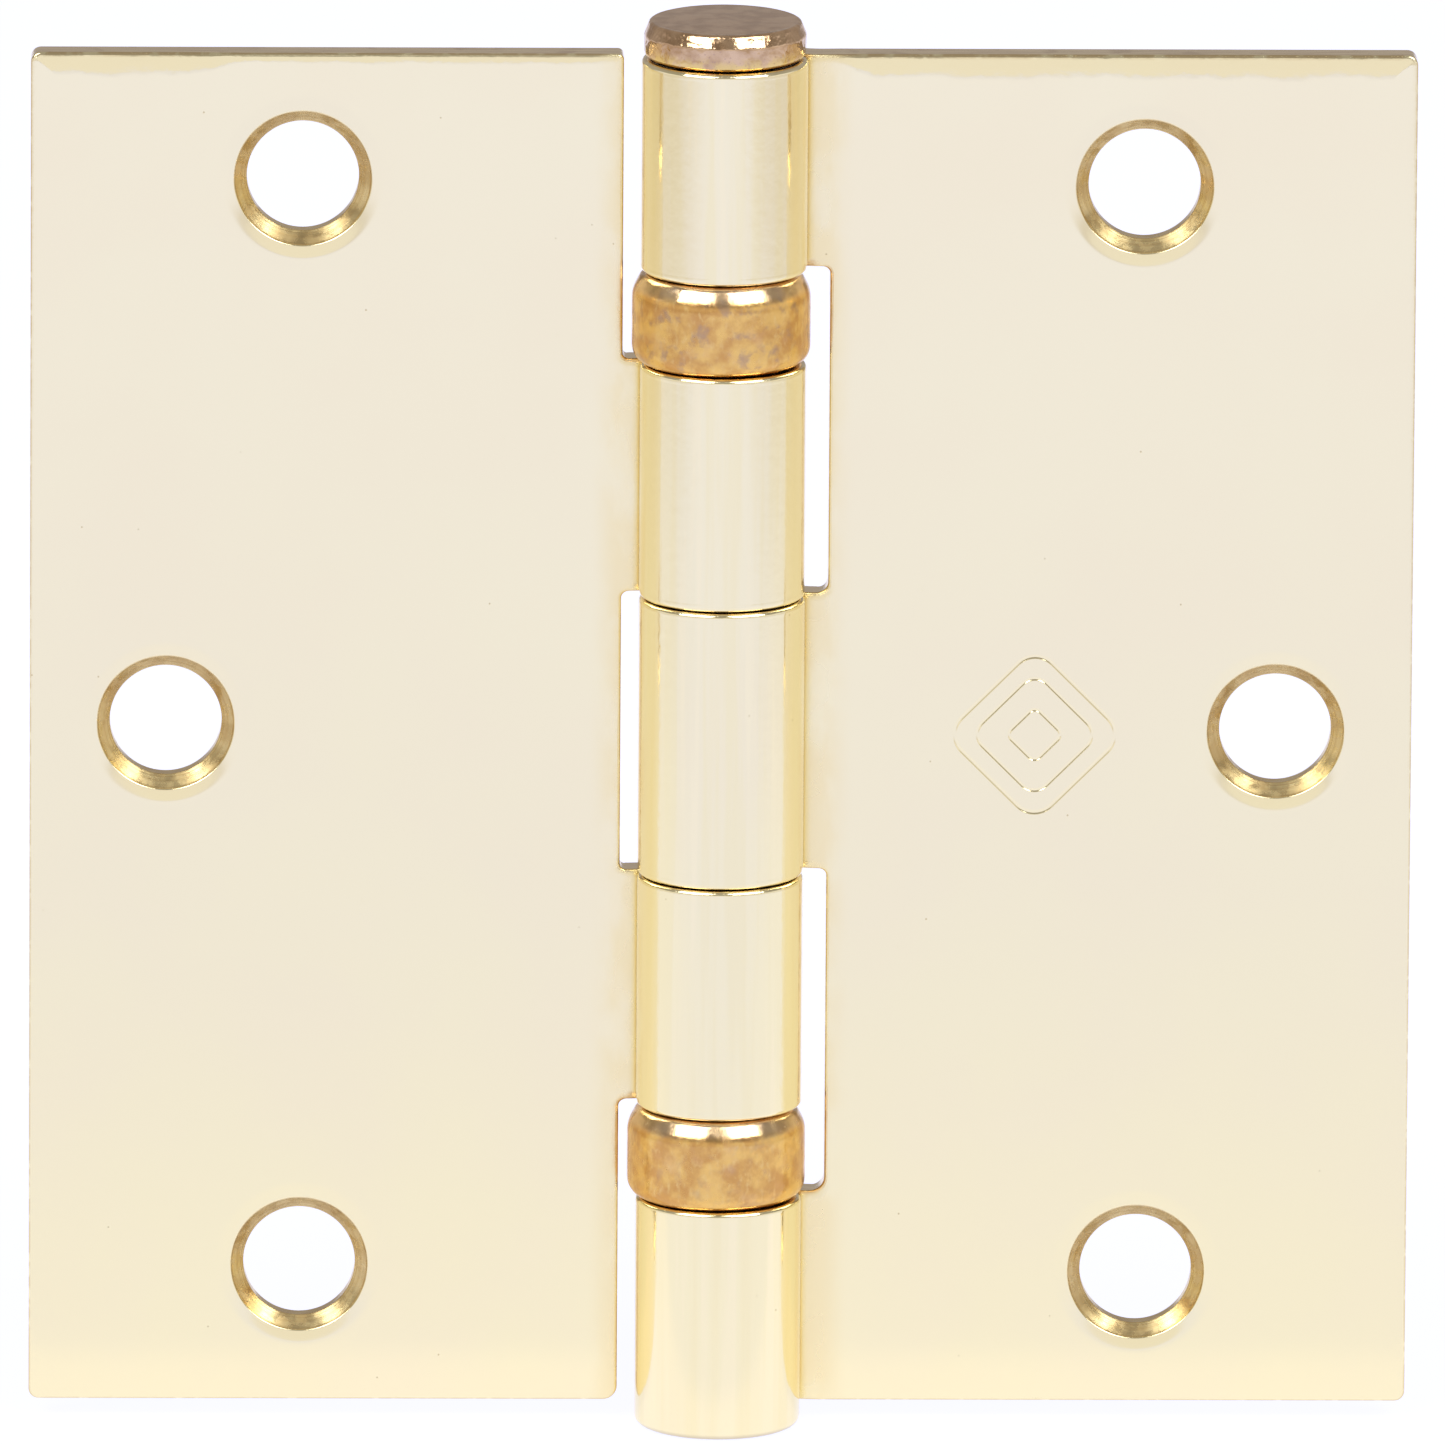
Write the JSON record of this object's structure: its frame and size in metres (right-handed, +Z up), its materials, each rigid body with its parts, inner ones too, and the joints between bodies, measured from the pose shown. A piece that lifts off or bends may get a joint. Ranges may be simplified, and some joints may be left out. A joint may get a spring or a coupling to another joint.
{
  "type": "door hinge",
  "caption": "Square-corner butt hinge with rolled knuckles, ball bearing collars, a loose button-head pin and countersunk screw holes.",
  "frame": {"origin": "on the pin's axis, at the middle of the hinge's height from the barrel's lower end to the top of the pin's head", "axes": "+Z up along the pin's axis, towards its head. With the hinge open flat, +X is towards the jamb leaf's outer edge and -Y is out of the countersunk faces."},
  "size_m": [0.0888, 0.0116, 0.0926],
  "materials": {
    "brass": "bright polished brass plate on stamped steel",
    "copper": "rose copper plate, softly polished",
    "bronze": "mottled bronze-coloured plate",
    "steel": "hardened bearing steel"
  },
  "bodies": {
    "jamb": {"jamb_leaf": "brass", "upper_bearing_top_race": "steel", "lower_bearing_shell": "bronze", "lower_bearing_bottom_race": "steel"},
    "door": {"door_leaf": "brass", "upper_bearing_shell": "bronze", "upper_bearing_bottom_race": "steel", "lower_bearing_top_race": "steel"},
    "upper_balls": {"upper_bearing_ball_1": "steel", "upper_bearing_ball_2": "steel", "upper_bearing_ball_3": "steel", "upper_bearing_ball_4": "steel", "upper_bearing_ball_5": "steel", "upper_bearing_ball_6": "steel", "upper_bearing_ball_7": "steel", "upper_bearing_ball_8": "steel", "upper_bearing_ball_9": "steel", "upper_bearing_ball_10": "steel"},
    "lower_balls": {"lower_bearing_ball_1": "steel", "lower_bearing_ball_2": "steel", "lower_bearing_ball_3": "steel", "lower_bearing_ball_4": "steel", "lower_bearing_ball_5": "steel", "lower_bearing_ball_6": "steel", "lower_bearing_ball_7": "steel", "lower_bearing_ball_8": "steel", "lower_bearing_ball_9": "steel", "lower_bearing_ball_10": "steel"},
    "pin": {"hinge_pin": "copper"}
  },
  "joints": [
    {"name": "door_swing", "type": "hinge", "parent": "jamb", "child": "door", "pos_m": [0, 0, 0], "axis": [0, 0, 1], "range_deg": [-90, 180]},
    {"name": "upper_balls_orbit", "type": "hinge", "parent": "jamb", "child": "upper_balls", "pos_m": [0, 0, 0.0269], "axis": [0, 0, 1], "range_deg": [-46, 91]},
    {"name": "lower_balls_orbit", "type": "hinge", "parent": "jamb", "child": "lower_balls", "pos_m": [0, 0, -0.0281], "axis": [0, 0, 1], "range_deg": [-46, 91]},
    {"name": "pin_lift", "type": "slide", "parent": "jamb", "child": "pin", "axis": [0, 0, 1], "range_m": [0, 0.095]}
  ],
  "couplings": [
    {"joint": "upper_balls_orbit", "follows": "door_swing", "ratio": 0.5},
    {"joint": "lower_balls_orbit", "follows": "door_swing", "ratio": 0.5}
  ]
}
